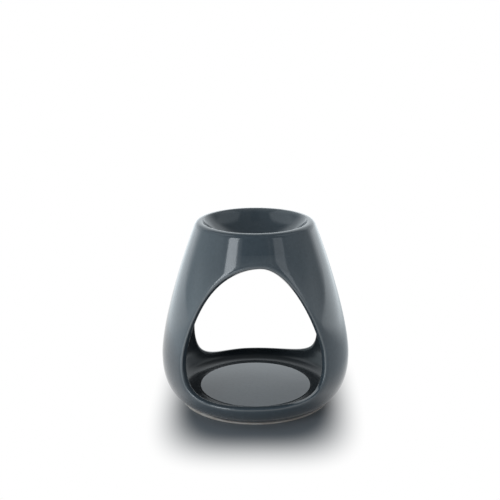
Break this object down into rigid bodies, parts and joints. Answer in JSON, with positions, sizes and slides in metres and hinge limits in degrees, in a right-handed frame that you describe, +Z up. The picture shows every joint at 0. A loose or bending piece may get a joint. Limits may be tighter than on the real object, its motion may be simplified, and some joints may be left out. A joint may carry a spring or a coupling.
{
  "type": "essential oil burner",
  "caption": "Round glazed stoneware burner with a shallow oil dish over an open candle chamber, tall arched windows front and back, a raised candle plate and a bare clay foot.",
  "frame": {"origin": "middle of the ring foot, on the surface that the burner stands on", "axes": "+Z up along the vessel's axis, the windows face -Y (front) and +Y (back)"},
  "size_m": [0.1, 0.0939, 0.097],
  "materials": {
    "slate_glaze": "dark blue-grey gloss glaze",
    "bare_clay": "unglazed speckled tan stoneware"
  },
  "bodies": {
    "root": {"wall_shell": "slate_glaze", "oil_dish": "slate_glaze", "base_pan": "slate_glaze", "candle_plate": "slate_glaze", "foot_ring": "bare_clay"}
  },
  "joints": []
}
